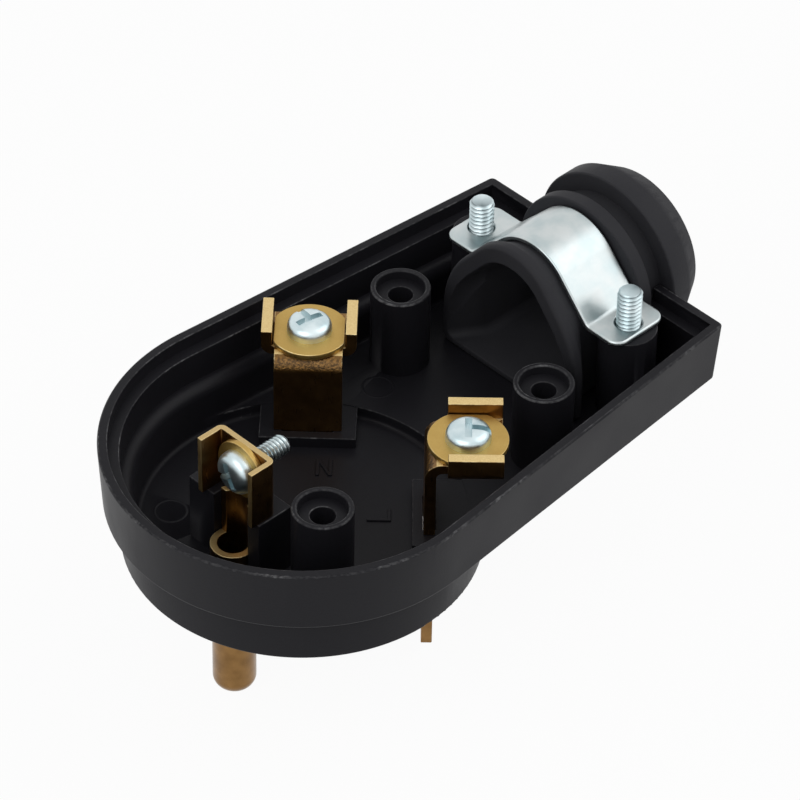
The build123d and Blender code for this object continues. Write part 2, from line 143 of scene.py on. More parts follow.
# painted shade for the thread grooves and the foot of the screw heads
GROOVE_SHADE = (0.07, 0.09, 0.1)
BRASS_TONES = ((0.18, 0.09, 0.022), (0.25, 0.132, 0.038))
BRASS_SHEARED = ((0.55, 0.38, 0.15), (0.8, 0.65, 0.33))
BRASS_BROWNED = (0.05, 0.027, 0.009)
# scuffed edge tone, which is also a painted highlight
BRASS_SCUFF_AND_HIGHLIGHT = (0.85, 0.7, 0.38)
WASHER_TONES = ((0.42, 0.27, 0.075), (0.54, 0.37, 0.12))
# scuffed edge tone, which is also a painted highlight
WASHER_SCUFF_AND_HIGHLIGHT = (0.8, 0.66, 0.35)
FLOOR_TONE = (0.85, 0.85, 0.85)

# Roughness, least and most
PLASTIC_ROUGHNESS = (0.36, 0.46)
RUBBER_ROUGHNESS = (0.55, 0.7)
ZINC_ROUGHNESS = (0.25, 0.37)
BRASS_ROUGHNESS = (0.27, 0.34)
WASHER_ROUGHNESS = (0.38, 0.52)
DRAWN_ROUGHNESS = 0.08        # added by the drawing lines
SHEARED_ROUGHNESS = 0.25      # added on sheared faces

# Textures: scales in repeats per metre
STRETCH_SCALE = 160.0             # longer and shorter stretches of an edge's scuffs and painted highlight
SPECK_SCALE = 2300.0          # grit on the bends of the strip
DRAWN_LINES = (300, 4000, 4000)
SHEARED_LINES = (5000, 5000, 600)
ROLLED_LINES = (3500, 3500, 400)
NOISE_ROUGHNESS = 0.55        # strength of the finer detail

# Ranges of a noise, and what they are mapped to
WIDE_NOISE = (0.3, 0.7)
CORE_NOISE = (0.35, 0.65)
FULL = (0.0, 1.0)
STRETCH_NOISE = (0.48, 0.64)
STRETCH_SHARE = (0.25, 1.0)
PATCH_NOISE = (0.35, 0.7)
PATCH_SHARE = (0.1, 1.0)
SPECK_NOISE = (0.42, 0.6)
SPECK_SHARE = (0.85, 0.1)     # how far a bend is browned between and on the specks

# Thread grooves: how dark their painted shade makes them
GROOVE_SHADE_POWER = 1.5
GROOVE_SHADE_SHARE = 0.85

# Rolled strip: heights over that of its fine grain, and its bends by the upward part of their normal
ROLLED_HEIGHT = 0.3
GRIT_HEIGHT = 40.0
BEND_SLOPE = 0.6
BEND_RANGE = (0.2, 0.38)      # distance from that slope over which a bend fades out

# Floor and light
FLOOR_HALF = 3.0
FLOOR_GLOW = 0.95             # share of plain white in the floor, as the camera sees it
SKY_LEVEL = 0.45              # white surroundings, as matt surfaces see them
LAMP_SIZE = 0.7
KEY_PLACE = (0.45, -0.35, 0.55)
KEY_POWER = 1.25
FILL_PLACE = (-0.55, -0.1, 0.5)
FILL_POWER = 1.6


# Shader helpers


def feed(tree, socket, value):
    """Link another socket to a socket, or give it a plain value."""
    if isinstance(value, bpy.types.NodeSocket):
        tree.links.new(value, socket)
    else:
        socket.default_value = value


def new_node(tree, kind, **settings):
    """Node with its settings and inputs. An underscore stands for the space in an input's name."""
    node = tree.nodes.new(kind)
    for name, value in settings.items():
        socket = name.replace("_", " ")
        if socket in node.inputs:
            feed(tree, node.inputs[socket], value)
        else:
            setattr(node, name, value)
    return node


def new_group(name, inputs, outputs):
    """Shader group of float sockets: inputs is a dict of name to value, outputs a tuple of names."""
    tree = bpy.data.node_groups.new(name, "ShaderNodeTree")
    for socket, value in inputs.items():
        made = tree.interface.new_socket(socket, in_out="INPUT", socket_type="NodeSocketFloat")
        made.default_value = value
    for socket in outputs:
        tree.interface.new_socket(socket, in_out="OUTPUT", socket_type="NodeSocketFloat")
    return tree, tree.nodes.new("NodeGroupInput"), tree.nodes.new("NodeGroupOutput")


def use_group(tree, group, **values):
    """Outputs of a shader group with the given inputs."""
    return new_node(tree, "ShaderNodeGroup", node_tree=group, **values).outputs


def calc(tree, operation, *operands, clamp=False):
    """Math node of sockets and numbers; gives its output socket."""
    node = new_node(tree, "ShaderNodeMath", operation=operation, use_clamp=clamp)
    for socket, operand in zip(node.inputs, operands):
        feed(tree, socket, operand)
    return node.outputs[0]


def mix_colour(tree, factor, first, second):
    """Mix of two colours, each a socket or a plain tone; gives its output socket."""
    node = new_node(tree, "ShaderNodeMix", data_type="RGBA")
    tree.links.new(factor, node.inputs[0])
    for socket, colour in zip(node.inputs[6:8], (first, second)):
        feed(tree, socket, (*colour, 1) if isinstance(colour, tuple) else colour)
    return node.outputs[2]


def span(tree, value, given, made):
    """Map Range from one range, given, to another, made, clamped; gives its output socket."""
    node = new_node(tree, "ShaderNodeMapRange")
    for socket, number in zip(node.inputs, (value, *given, *made)):
        feed(tree, socket, number)
    return node.outputs[0]


def noise(tree, place, scale, detail):
    """Noise texture; gives its output socket."""
    node = new_node(tree, "ShaderNodeTexNoise", Vector=place, Scale=scale, Detail=detail,
                    Roughness=NOISE_ROUGHNESS)
    return node.outputs["Fac"]


def streaks(tree, place, scale, detail):
    """Noise drawn out into lines, with its own scale along each axis."""
    node = new_node(tree, "ShaderNodeMapping", Vector=place, Scale=scale)
    return noise(tree, node.outputs["Vector"], 1.0, detail)


def grain_group():
    """Fine and broad unevenness of a surface: Fine for bump, Broad for colour and gloss."""
    tree, given, made = new_group(
        "surface_grain", {"Fine Scale": 2500.0, "Broad Scale": 180.0}, ("Fine", "Broad"))
    place = tree.nodes.new("ShaderNodeTexCoord").outputs["Object"]
    for scale, result, detail in (("Fine Scale", "Fine", 2.0), ("Broad Scale", "Broad", 5.0)):
        size = given.outputs[scale]
        texture = new_node(tree, "ShaderNodeTexNoise", Vector=place, Scale=size, Detail=detail)
        tree.links.new(texture.outputs["Fac"], made.inputs[result])
    return tree


def scuff_and_highlight_group():
    """Mask of scuffed edges with a painted highlight: the faces marked edge, in stretches and patches of
    noise.
    """
    tree, given, made = new_group("scuff_and_highlight_mask", {"Amount": 0.5, "Breakup Scale": 400.0}, ("Mask",))
    place = tree.nodes.new("ShaderNodeTexCoord").outputs["Object"]
    edge = new_node(tree, "ShaderNodeAttribute", attribute_name="edge").outputs["Fac"]
    size = given.outputs["Breakup Scale"]
    texture = new_node(tree, "ShaderNodeTexNoise", Vector=place, Scale=size, Detail=4.0)
    stretches = span(tree, noise(tree, place, STRETCH_SCALE, detail=2.0), STRETCH_NOISE, STRETCH_SHARE)
    patches = span(tree, texture.outputs["Fac"], PATCH_NOISE, PATCH_SHARE)
    scuffed_and_lit = calc(tree, "MULTIPLY", edge, calc(tree, "MULTIPLY", patches, stretches))
    mask = calc(tree, "MULTIPLY", scuffed_and_lit, given.outputs["Amount"], clamp=True)
    tree.links.new(mask, made.inputs["Mask"])
    return tree


surface_grain = grain_group()
scuff_and_highlight_mask = scuff_and_highlight_group()


def new_material(name):
    """Material, its node tree and its shader."""
    material = bpy.data.materials.new(name)
    material.use_nodes = True
    tree = material.node_tree
    return material, tree, tree.nodes["Principled BSDF"]


def bump(tree, shader, height, distance, strength):
    """Fine relief, in the normal of a shader."""
    node = new_node(tree, "ShaderNodeBump", Height=height, Strength=strength, Distance=distance)
    tree.links.new(node.outputs["Normal"], shader.inputs["Normal"])


def colour_with_scuffs_and_highlight(tree, shader, colour, scuff_and_highlight_tone, **mask_settings):
    """Base colour of a piece, with its scuffed edges in a lighter tone that is both real scuffing and
    painted highlight.
    """
    mask = use_group(tree, scuff_and_highlight_mask, **mask_settings)["Mask"]
    # the lighter edge tone paints a highlight on the scuffed edges
    tree.links.new(mix_colour(tree, mask, colour, scuff_and_highlight_tone), shader.inputs["Base Color"])


def moulded_black():
    """Satin charcoal moulding: fine spark-eroded grain, faint flow marks, scuffed edges with a painted
    highlight.
    """
    material, tree, shader = new_material("moulded_black")
    grain = use_group(tree, surface_grain, Fine_Scale=3200.0, Broad_Scale=90.0)
    body = mix_colour(tree, grain["Broad"], *PLASTIC_TONES)
    colour_with_scuffs_and_highlight(tree, shader, body, PLASTIC_SCUFF_AND_HIGHLIGHT, Amount=1.0, Breakup_Scale=1400.0)
    feed(tree, shader.inputs["Roughness"], span(tree, grain["Broad"], WIDE_NOISE, PLASTIC_ROUGHNESS))
    shader.inputs["Specular IOR Level"].default_value = 0.122
    bump(tree, shader, grain["Fine"], distance=0.03 * MM, strength=0.6)
    return material


def matt_rubber():
    """Matt black rubber with a soft grain and faintly scuffed edges with a painted highlight."""
    material, tree, shader = new_material("matt_rubber")
    grain = use_group(tree, surface_grain, Fine_Scale=2600.0, Broad_Scale=120.0)
    body = mix_colour(tree, grain["Broad"], *RUBBER_TONES)
    colour_with_scuffs_and_highlight(tree, shader, body, RUBBER_SCUFF_AND_HIGHLIGHT, Amount=0.2, Breakup_Scale=900.0)
    feed(tree, shader.inputs["Roughness"], span(tree, grain["Broad"], WIDE_NOISE, RUBBER_ROUGHNESS))
    shader.inputs["Specular IOR Level"].default_value = 0.17
    bump(tree, shader, grain["Fine"], distance=0.04 * MM, strength=0.6)
    return material


def bright_zinc(name, tones):
    """Zinc plate: bright metal with soft clouds, fine drawing lines and painted shade in the thread grooves
    and at the foot of the head.
    """
    material, tree, shader = new_material(name)
    place = tree.nodes.new("ShaderNodeTexCoord").outputs["Object"]
    grain = use_group(tree, surface_grain, Fine_Scale=2200.0, Broad_Scale=260.0)
    plate = mix_colour(tree, span(tree, grain["Broad"], CORE_NOISE, FULL), *tones)
    groove = new_node(tree, "ShaderNodeAttribute", attribute_name="groove").outputs["Fac"]
    # painted shade: the deeper in a thread groove, and at the foot of the head, the darker the plate
    groove_shade = calc(tree, "MULTIPLY", calc(tree, "POWER", groove, GROOVE_SHADE_POWER), GROOVE_SHADE_SHARE)
    tree.links.new(mix_colour(tree, groove_shade, plate, GROOVE_SHADE), shader.inputs["Base Color"])
    lines = streaks(tree, place, DRAWN_LINES, detail=2.0)
    dull = span(tree, grain["Broad"], WIDE_NOISE, ZINC_ROUGHNESS)
    dull = calc(tree, "ADD", dull, calc(tree, "MULTIPLY", lines, DRAWN_ROUGHNESS))
    feed(tree, shader.inputs["Roughness"], dull)
    shader.inputs["Metallic"].default_value = 1.0
    bump(tree, shader, calc(tree, "ADD", grain["Fine"], lines), distance=0.01 * MM, strength=0.5)
    return material


def bend_mask(tree):
    """1 on the bends of the strip, 0 on its level and upright faces."""
    normal = tree.nodes.new("ShaderNodeNewGeometry").outputs["Normal"]
    upward = new_node(tree, "ShaderNodeSeparateXYZ", Vector=normal).outputs["Z"]
    tilt = calc(tree, "ABSOLUTE", calc(tree, "SUBTRACT", upward, BEND_SLOPE))
    return span(tree, tilt, BEND_RANGE, (1.0, 0.0))


def rolled_brass():
    """Rolled strip: brown and gold mottling, fine rolling lines, gritty bends, bright sheared ends, scuffed
    edges with a painted highlight.
    """
    material, tree, shader = new_material("rolled_brass")
    place = tree.nodes.new("ShaderNodeTexCoord").outputs["Object"]
    grain = use_group(tree, surface_grain, Fine_Scale=3000.0, Broad_Scale=380.0)
    cut = new_node(tree, "ShaderNodeAttribute", attribute_name="cut").outputs["Fac"]
    bent = bend_mask(tree)
    specks = noise(tree, place, SPECK_SCALE, detail=4.0)
    browned = calc(tree, "MULTIPLY", bent, span(tree, specks, SPECK_NOISE, SPECK_SHARE))
    face = mix_colour(tree, span(tree, grain["Broad"], CORE_NOISE, FULL), *BRASS_TONES)
    face = mix_colour(tree, browned, face, BRASS_BROWNED)
    fresh = mix_colour(tree, streaks(tree, place, SHEARED_LINES, detail=2.0), *BRASS_SHEARED)
    face = mix_colour(tree, cut, face, fresh)
    colour_with_scuffs_and_highlight(tree, shader, face, BRASS_SCUFF_AND_HIGHLIGHT, Amount=1.0, Breakup_Scale=900.0)
    lines = streaks(tree, place, ROLLED_LINES, detail=3.0)
    dull = span(tree, lines, WIDE_NOISE, BRASS_ROUGHNESS)
    dull = calc(tree, "ADD", dull, calc(tree, "MULTIPLY", cut, SHEARED_ROUGHNESS))
    feed(tree, shader.inputs["Roughness"], dull)
    shader.inputs["Metallic"].default_value = 1.0
    shader.inputs["Coat Weight"].default_value = 0.3
    shader.inputs["Coat Roughness"].default_value = 0.3
    grit = calc(tree, "MULTIPLY", calc(tree, "MULTIPLY", specks, bent), GRIT_HEIGHT)
    height = calc(tree, "ADD", grain["Fine"], calc(tree, "MULTIPLY", lines, ROLLED_HEIGHT))
    bump(tree, shader, calc(tree, "ADD", height, grit), distance=0.01 * MM, strength=0.6)
    return material


def pale_brass():
    """Matt pale gold washers, lightly tumbled, with scuffed edges that carry a painted highlight."""
    material, tree, shader = new_material("pale_brass")
    grain = use_group(tree, surface_grain, Fine_Scale=3600.0, Broad_Scale=300.0)
    face = mix_colour(tree, grain["Broad"], *WASHER_TONES)
    colour_with_scuffs_and_highlight(tree, shader, face, WASHER_SCUFF_AND_HIGHLIGHT, Amount=1.0, Breakup_Scale=900.0)
    feed(tree, shader.inputs["Roughness"], span(tree, grain["Fine"], WIDE_NOISE, WASHER_ROUGHNESS))
    shader.inputs["Metallic"].default_value = 1.0
    bump(tree, shader, grain["Fine"], distance=0.015 * MM, strength=0.5)
    return material


black_plastic = moulded_black()
black_rubber = matt_rubber()
strap_zinc = bright_zinc("strap_zinc", STRAP_TONES)
screw_zinc = bright_zinc("screw_zinc", SCREW_TONES)
brass = rolled_brass()
washer_brass = pale_brass()


# Pieces that keep the CAD form, with their edges rounded


def add_piece(name, mesh, material, slot, *replaced):
    """Put a finished mesh in the scene as a piece of the plug, in the place of the named nodes."""
    mesh.materials.clear()
    mesh.materials.append(material)
    piece = bpy.data.objects.new(name, mesh)
    bpy.context.scene.collection.objects.link(piece)
    for node in replaced:
        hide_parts(node)
    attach(piece, "root")


def spread(face):
    """Length times breadth of a face."""
    return face.calc_area() * (2 if len(face.verts) == 3 else 1)


def is_sharp(edge):
    """True for an outer edge that turns enough to be rounded."""
    return edge.calc_face_angle_signed(0) > SHARP_ANGLE


def has_room(edge, size):
    """True where both faces at an edge reach further than a round of that size takes."""
    return all(spread(face) > 2 * size * edge.calc_length() for face in edge.link_faces)


def corners(edges):
    """The edges that make up long chains. Short chains are folds of an uneven mesh, not corners."""
    left = set(edges)
    kept = set()
    while left:
        chain = [left.pop()]
        for edge in chain:
            for vertex in edge.verts:
                joined = left.intersection(vertex.link_edges)
                left -= joined
                chain.extend(joined)
        if sum(edge.calc_length() for edge in chain) > CORNER_LENGTH:
            kept.update(chain)
    return [edge for edge in edges if edge in kept]


def outer_curve(face):
    """Tightest outward curve of a face, to its neighbours and along its edges, as one over a radius."""
    bulge = sum(edge.calc_face_angle_signed(0) * edge.calc_length() for edge in face.edges)
    curve = bulge / max(2 * spread(face), MERGE_DISTANCE ** 2)
    for edge in face.edges:
        step = edge.verts[1].co - edge.verts[0].co
        if step.length > MERGE_DISTANCE:
            turn = edge.verts[1].normal - edge.verts[0].normal
            curve = max(curve, turn.dot(step) / step.length_squared)
    return curve


def sheared(face):
    """How freshly cut a face of a contact looks: 1 on level ends of the strip, less on thin sheet."""
    around = face.calc_perimeter()
    sharp = sum(edge.calc_length() for edge in face.edges if is_sharp(edge))
    level = face.normal.z > LEVEL
    high = face.calc_center_median().z > SHEET_LEVEL and face.normal.z > SHEET_LEAN
    thin = 2 * face.calc_area() < SHEET_WIDTH * around and sharp > SHEET_SHARP * around
    if thin and (level or high):
        return SHEET_END if level else SHEET_EDGE
    return float(level and face.calc_area() < SHEARED_AREA)


def rounded_mesh(node, name, round_size):
    """Copy of a CAD node with its sharp outer edges rounded.

    The attribute edge is 1 on tight outer rounds that look up, and cut is up to 1 on sheared faces.
    """
    shape = bmesh.new()
    shape.from_mesh(nodes[node].data)
    edge_layer = shape.faces.layers.float.new("edge")
    cut_layer = shape.faces.layers.float.new("cut")
    bmesh.ops.remove_doubles(shape, verts=shape.verts, dist=MERGE_DISTANCE)
    surface = BVHTree.FromBMesh(shape)
    bmesh.ops.dissolve_limit(shape, angle_limit=FLAT_ANGLE, verts=shape.verts, edges=shape.edges)
    for face in shape.faces:
        face[cut_layer] = sheared(face)
    sharp = corners([edge for edge in shape.edges if is_sharp(edge)])
    sharp = [edge for edge in sharp if has_room(edge, round_size)]
    made = bmesh.ops.bevel(shape, geom=sharp, offset=round_size, segments=ROUND_STEPS,
                           profile=ROUND_PROFILE, affect="EDGES", clamp_overlap=False)
    for vertex in made["verts"]:
        nearest, _, _, distance = surface.find_nearest(vertex.co)
        if distance > round_size:
            vertex.co = nearest
    shape.normal_update()
    for face in shape.faces:
        longest = max(edge.calc_length() for edge in face.edges)
        narrow = face.calc_area() < NARROW * longest
        tight = outer_curve(face) * TIGHT_RADIUS > 1
        face[edge_layer] = float(narrow and tight and face.normal.z > SCUFF_AND_HIGHLIGHT_SLOPE)
    mesh = bpy.data.meshes.new(name)
    shape.to_mesh(mesh)
    shape.free()
    mesh.shade_smooth()
    mesh.set_sharp_from_angle(angle=CREASE_ANGLE)
    return mesh


def plain_mesh(holder, name):
    """Plain mesh of an object with its modifiers worked in. The object is removed."""
    bpy.context.scene.collection.objects.link(holder)
    depsgraph = bpy.context.evaluated_depsgraph_get()
    evaluated = holder.evaluated_get(depsgraph)
    mesh = bpy.data.meshes.new_from_object(evaluated, preserve_all_data_layers=True, depsgraph=depsgraph)
    mesh.name = name
    bpy.data.objects.remove(holder)
    return mesh


def finished(node, name, round_size, material, slot):
    """Piece with rounded edges in the place of a CAD node, with normals that keep its flat faces flat."""
    holder = bpy.data.objects.new(name + "_holder", rounded_mesh(node, name, round_size))
    weighted = holder.modifiers.new("weighted", "WEIGHTED_NORMAL")
    weighted.keep_sharp = True
    weighted.weight = FACE_WEIGHT
    add_piece(name, plain_mesh(holder, name), material, slot, node)


finished("housing", "base_moulding", HOUSING_ROUND, black_plastic, "housing_plastic")
finished("cord_grommet", "rubber_entry", RUBBER_ROUND, black_rubber, "grommet_rubber")
finished("cord_clamp", "clamp_strap", STRAP_ROUND, strap_zinc, "zinc_steel")
for terminal in ("neutral", "line", "ground"):
    finished(terminal + "_contact", terminal + "_strip", BRASS_ROUND, brass, "contact_brass")
    finished(terminal + "_washer", terminal + "_disc", WASHER_ROUND, washer_brass, "washer_brass")


# Threaded screws


def geometry_tree(name, sizes, kinds):
    """Geometry Nodes tree with float inputs for its sizes, inputs of other kinds and one geometry output."""
    tree = bpy.data.node_groups.new(name, "GeometryNodeTree")
    for socket in sizes:
        tree.interface.new_socket(socket, in_out="INPUT", socket_type="NodeSocketFloat")
    for socket, kind in kinds.items():
        tree.interface.new_socket(socket, in_out="INPUT", socket_type=kind)
    tree.interface.new_socket("Geometry", in_out="OUTPUT", socket_type="NodeSocketGeometry")
    given = tree.nodes.new("NodeGroupInput").outputs
    made = tree.nodes.new("NodeGroupOutput").inputs["Geometry"]
    return tree, given, made


def grown(tree, settings, name):
    """Plain mesh that a Geometry Nodes tree makes with the given inputs."""
    holder = bpy.data.objects.new(name + "_holder", bpy.data.meshes.new(name + "_seed"))
    modifier = holder.modifiers.new("grown", "NODES")
    modifier.node_group = tree
    for item in tree.interface.items_tree:
        if item.in_out == "INPUT":
            modifier[item.identifier] = settings[item.name]
    mesh = plain_mesh(holder, name)
    mesh.shade_smooth()
    mesh.set_sharp_from_angle(angle=CREASE_ANGLE)
    return mesh


def merged(tree, geometry):
    """Geometry with the seams of its grids closed."""
    node = new_node(tree, "GeometryNodeMergeByDistance", Geometry=geometry, Distance=MERGE_DISTANCE)
    return node.outputs[0]


def end_in(tree, geometry, material, made):
    """Last nodes of a tree: real geometry with its material."""
    real = new_node(tree, "GeometryNodeRealizeInstances", Geometry=geometry).outputs[0]
    painted = new_node(tree, "GeometryNodeSetMaterial", Geometry=real, Material=material)
    tree.links.new(painted.outputs[0], made)


def turned_grid(tree, rows, direction, profile):
    """Grid wrapped round the Z axis.

    profile takes the share round and along, and gives sockets for radius, height and depth in a groove.
    """
    grid = new_node(tree, "GeometryNodeMeshGrid", Size_X=1.0, Size_Y=1.0, Vertices_X=SCREW_SIDES + 1,
                    Vertices_Y=rows)
    position = tree.nodes.new("GeometryNodeInputPosition").outputs[0]
    place = new_node(tree, "ShaderNodeSeparateXYZ", Vector=position)
    around = calc(tree, "ADD", place.outputs["X"], 0.5)
    along = calc(tree, "ADD", place.outputs["Y"], 0.5)
    radius, height, groove = profile(around, along)
    marked = new_node(tree, "GeometryNodeStoreNamedAttribute", Geometry=grid.outputs["Mesh"], Name="groove",
                      Value=groove)
    angle = calc(tree, "MULTIPLY", around, direction * 2 * pi)
    x = calc(tree, "MULTIPLY", radius, calc(tree, "COSINE", angle))
    y = calc(tree, "MULTIPLY", radius, calc(tree, "SINE", angle))
    point = new_node(tree, "ShaderNodeCombineXYZ", X=x, Y=y, Z=height).outputs[0]
    moved = new_node(tree, "GeometryNodeSetPosition", Geometry=marked.outputs["Geometry"], Position=point)
    return moved.outputs[0]


def recess_bar(tree, length, width, depth, top):
    """Box sunk by half its height into the top of a screw head."""
    high = calc(tree, "MULTIPLY", depth, 2.0)
    size = new_node(tree, "ShaderNodeCombineXYZ", X=length, Y=width, Z=high).outputs[0]
    bar = new_node(tree, "GeometryNodeMeshCube", Size=size).outputs["Mesh"]
    lift = new_node(tree, "ShaderNodeCombineXYZ", Z=top).outputs[0]
    return new_node(tree, "GeometryNodeTransform", Geometry=bar, Translation=lift).outputs[0]


def screw_tree():
    """Pan-head screw with a rolled thread. Its head stands on the XY plane, its shank points down."""
    tree, given, made = geometry_tree(
        "threaded_screw",
        ("Head Diameter", "Head Height", "Shank Diameter", "Length", "Pitch", "Thread Depth", "Point",
         "Squareness", "Recess Width", "Recess Depth", "Recess Span"),
        {"Rows": "NodeSocketInt", "Metal": "NodeSocketMaterial"})
    shank_radius = calc(tree, "DIVIDE", given["Shank Diameter"], 2.0)
    head_radius = calc(tree, "DIVIDE", given["Head Diameter"], 2.0)

    def shank(around, along):
        """Thread that winds down the shank, runs out under the head and ends in a point."""
        # The last row closes the end, so the row before it is the one at full length
        steps = calc(tree, "SUBTRACT", given["Rows"], 1.0)
        stretch = calc(tree, "DIVIDE", steps, calc(tree, "SUBTRACT", steps, 1.0))
        share = calc(tree, "MINIMUM", calc(tree, "MULTIPLY", along, stretch), 1.0)
        down = calc(tree, "MULTIPLY", share, given["Length"])
        turns = calc(tree, "SUBTRACT", calc(tree, "DIVIDE", down, given["Pitch"]), around)
        wave = calc(tree, "MULTIPLY", calc(tree, "PINGPONG", turns, 0.5), 2.0)
        run_out = calc(tree, "DIVIDE", down, given["Pitch"], clamp=True)
        groove = calc(tree, "MULTIPLY", wave, run_out)
        depth = calc(tree, "MULTIPLY", groove, given["Thread Depth"])
        radius = calc(tree, "SUBTRACT", shank_radius, depth)
        left = calc(tree, "SUBTRACT", given["Length"], down)
        point = calc(tree, "ADD", calc(tree, "SUBTRACT", shank_radius, given["Point"]), left)
        radius = calc(tree, "MINIMUM", radius, point)
        before_end = calc(tree, "LESS_THAN", along, LAST_ROW)
        return calc(tree, "MULTIPLY", radius, before_end), calc(tree, "MULTIPLY", down, -1.0), groove

    def head(_, along):
        """Pan head, from the shank out to its rim and up to its middle."""
        first = 1.0 / (HEAD_ROWS - 1)
        turn = calc(tree, "MULTIPLY", span(tree, along, (first, 1.0), FULL), pi / 2)
        power = calc(tree, "DIVIDE", 2.0, given["Squareness"])
        outward = calc(tree, "POWER", calc(tree, "COSINE", turn), power)
        upward = calc(tree, "POWER", calc(tree, "SINE", turn), power)
        under = calc(tree, "LESS_THAN", along, first / 2)
        dome = calc(tree, "MULTIPLY", head_radius, outward)
        dome = calc(tree, "MULTIPLY", dome, calc(tree, "SUBTRACT", 1.0, under))
        radius = calc(tree, "ADD", dome, calc(tree, "MULTIPLY", shank_radius, under))
        before_end = calc(tree, "LESS_THAN", along, LAST_ROW)
        height = calc(tree, "MULTIPLY", given["Head Height"], upward)
        # under also counts as groove depth, so the foot of the head takes the painted shade of the grooves
        return calc(tree, "MULTIPLY", radius, before_end), height, under

    joined = tree.nodes.new("GeometryNodeJoinGeometry")
    tree.links.new(turned_grid(tree, given["Rows"], -1, shank), joined.inputs[0])
    tree.links.new(turned_grid(tree, HEAD_ROWS, 1, head), joined.inputs[0])
    closed = merged(tree, joined.outputs[0])
    cut = new_node(tree, "GeometryNodeMeshBoolean", operation="DIFFERENCE", Mesh_1=closed)
    across = calc(tree, "MULTIPLY", given["Head Diameter"], SLOT_REACH)
    for length, width in ((across, given["Recess Width"]), (given["Recess Width"], given["Recess Span"])):
        bar = recess_bar(tree, length, width, given["Recess Depth"], given["Head Height"])
        tree.links.new(bar, cut.inputs["Mesh 2"])
    end_in(tree, cut.outputs["Mesh"], given["Metal"], made)
    return tree


def add_screw(tree, node, along, turn, sizes):
    """Threaded screw in the place of a CAD one. along points from the shank to the head."""
    low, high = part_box(node)
    extent = high - low
    axis = max(range(3), key=lambda index: abs(along[index]))
    across = (axis + 1) % 3
    head_end = (high if along[axis] > 0 else low)[axis]
    seat = (low + high) / 2
    seat[axis] = head_end - along[axis] * sizes["Head Height"]
    length = extent[axis] - sizes["Head Height"]
    rows = round(length / sizes["Pitch"] * ROWS_PER_TURN) + 2   # with the first and the closing row
    fitted = {"Head Diameter": extent[across], "Length": length, "Rows": rows, "Metal": screw_zinc}
    name = node + "_threaded"
    mesh = grown(tree, {**sizes, **fitted}, name)
    turned = Vector(along).to_track_quat("Z", "Y").to_matrix().to_4x4() @ Matrix.Rotation(turn, 4, "Z")
    mesh.transform(Matrix.Translation(seat) @ turned)
    add_piece(name, mesh, screw_zinc, "zinc_steel", node)


threaded_screw = screw_tree()
add_screw(threaded_screw, "neutral_screw", (0, 0, 1), NEUTRAL_SLOT, TERMINAL_SCREW)
add_screw(threaded_screw, "line_screw", (0, 0, 1), LINE_SLOT, TERMINAL_SCREW)
add_screw(threaded_screw, "ground_screw", (-1, 0, 0), GROUND_SLOT, TERMINAL_SCREW)
for side in ("left", "right"):
    add_screw(threaded_screw, "clamp_screw_" + side, (0, 0, -1), 0.0, CLAMP_SCREW)


# Raised marks on the floors of the housing


def raised_letter(outline, turn, place):
    """Raised letter of one outline, turned about Z and set with its middle at a place on the floor."""
    shape = bmesh.new()
    middle = Vector((max(x for x, _ in outline), max(y for _, y in outline), 0)) / 2
    base = [shape.verts.new(Vector((x, y, 0)) - middle) for x, y in outline]
    risen = bmesh.ops.extrude_face_region(shape, geom=[shape.faces.new(base)])["geom"]
    top = [part for part in risen if isinstance(part, bmesh.types.BMVert)]
    bmesh.ops.translate(shape, verts=top, vec=(0, 0, MARK_RISE + MARK_SINK))
    bmesh.ops.recalc_face_normals(shape, faces=shape.faces)
    crown = [edge for edge in shape.edges if all(vertex in top for vertex in edge.verts)]
    bmesh.ops.bevel(shape, geom=crown, offset=MARK_ROUND, segments=ROUND_STEPS, profile=ROUND_PROFILE,
                    affect="EDGES")
    sunk = Vector(place) * MM - Vector((0, 0, MARK_SINK))
    shape.transform(Matrix.Translation(sunk) @ Matrix.Rotation(turn, 4, "Z"))
    mesh = bpy.data.meshes.new("mark")
    shape.to_mesh(mesh)
    shape.free()
    return mesh


def ring_tree():
    """Low rounded ring, as an ejector pin leaves it."""
    tree, given, made = geometry_tree(
        "ejector_ring", ("Diameter", "Width", "Rise"), {"Plastic": "NodeSocketMaterial"})
    middle = calc(tree, "DIVIDE", given["Diameter"], 2.0)

    def ridge(_, along):
        """Half a wave across the width of the ring."""
        across = calc(tree, "SUBTRACT", 0.5, along)
        radius = calc(tree, "ADD", middle, calc(tree, "MULTIPLY", across, given["Width"]))
        hump = calc(tree, "SINE", calc(tree, "MULTIPLY", along, pi))
        height = calc(tree, "MULTIPLY", calc(tree, "SUBTRACT", hump, RING_SINK), given["Rise"])
        return radius, height, hump

    closed = merged(tree, turned_grid(tree, RING_ROWS, 1, ridge))
    end_in(tree, closed, given["Plastic"], made)
    return tree


def letter_l(high, wide, stroke):
    """Outline of an L, from its lower left corner."""
    return [(0, 0), (wide, 0), (wide, stroke), (stroke, stroke), (stroke, high), (0, high)]


def letter_n(high, wide, stroke):
    """Outline of an N, from its lower left corner."""
    slant = LETTER_SLANT * stroke
    return [(0, 0), (stroke, 0), (stroke, high - slant), (wide - stroke, 0), (wide, 0), (wide, high),
            (wide - stroke, high), (wide - stroke, slant), (stroke, high), (0, high)]


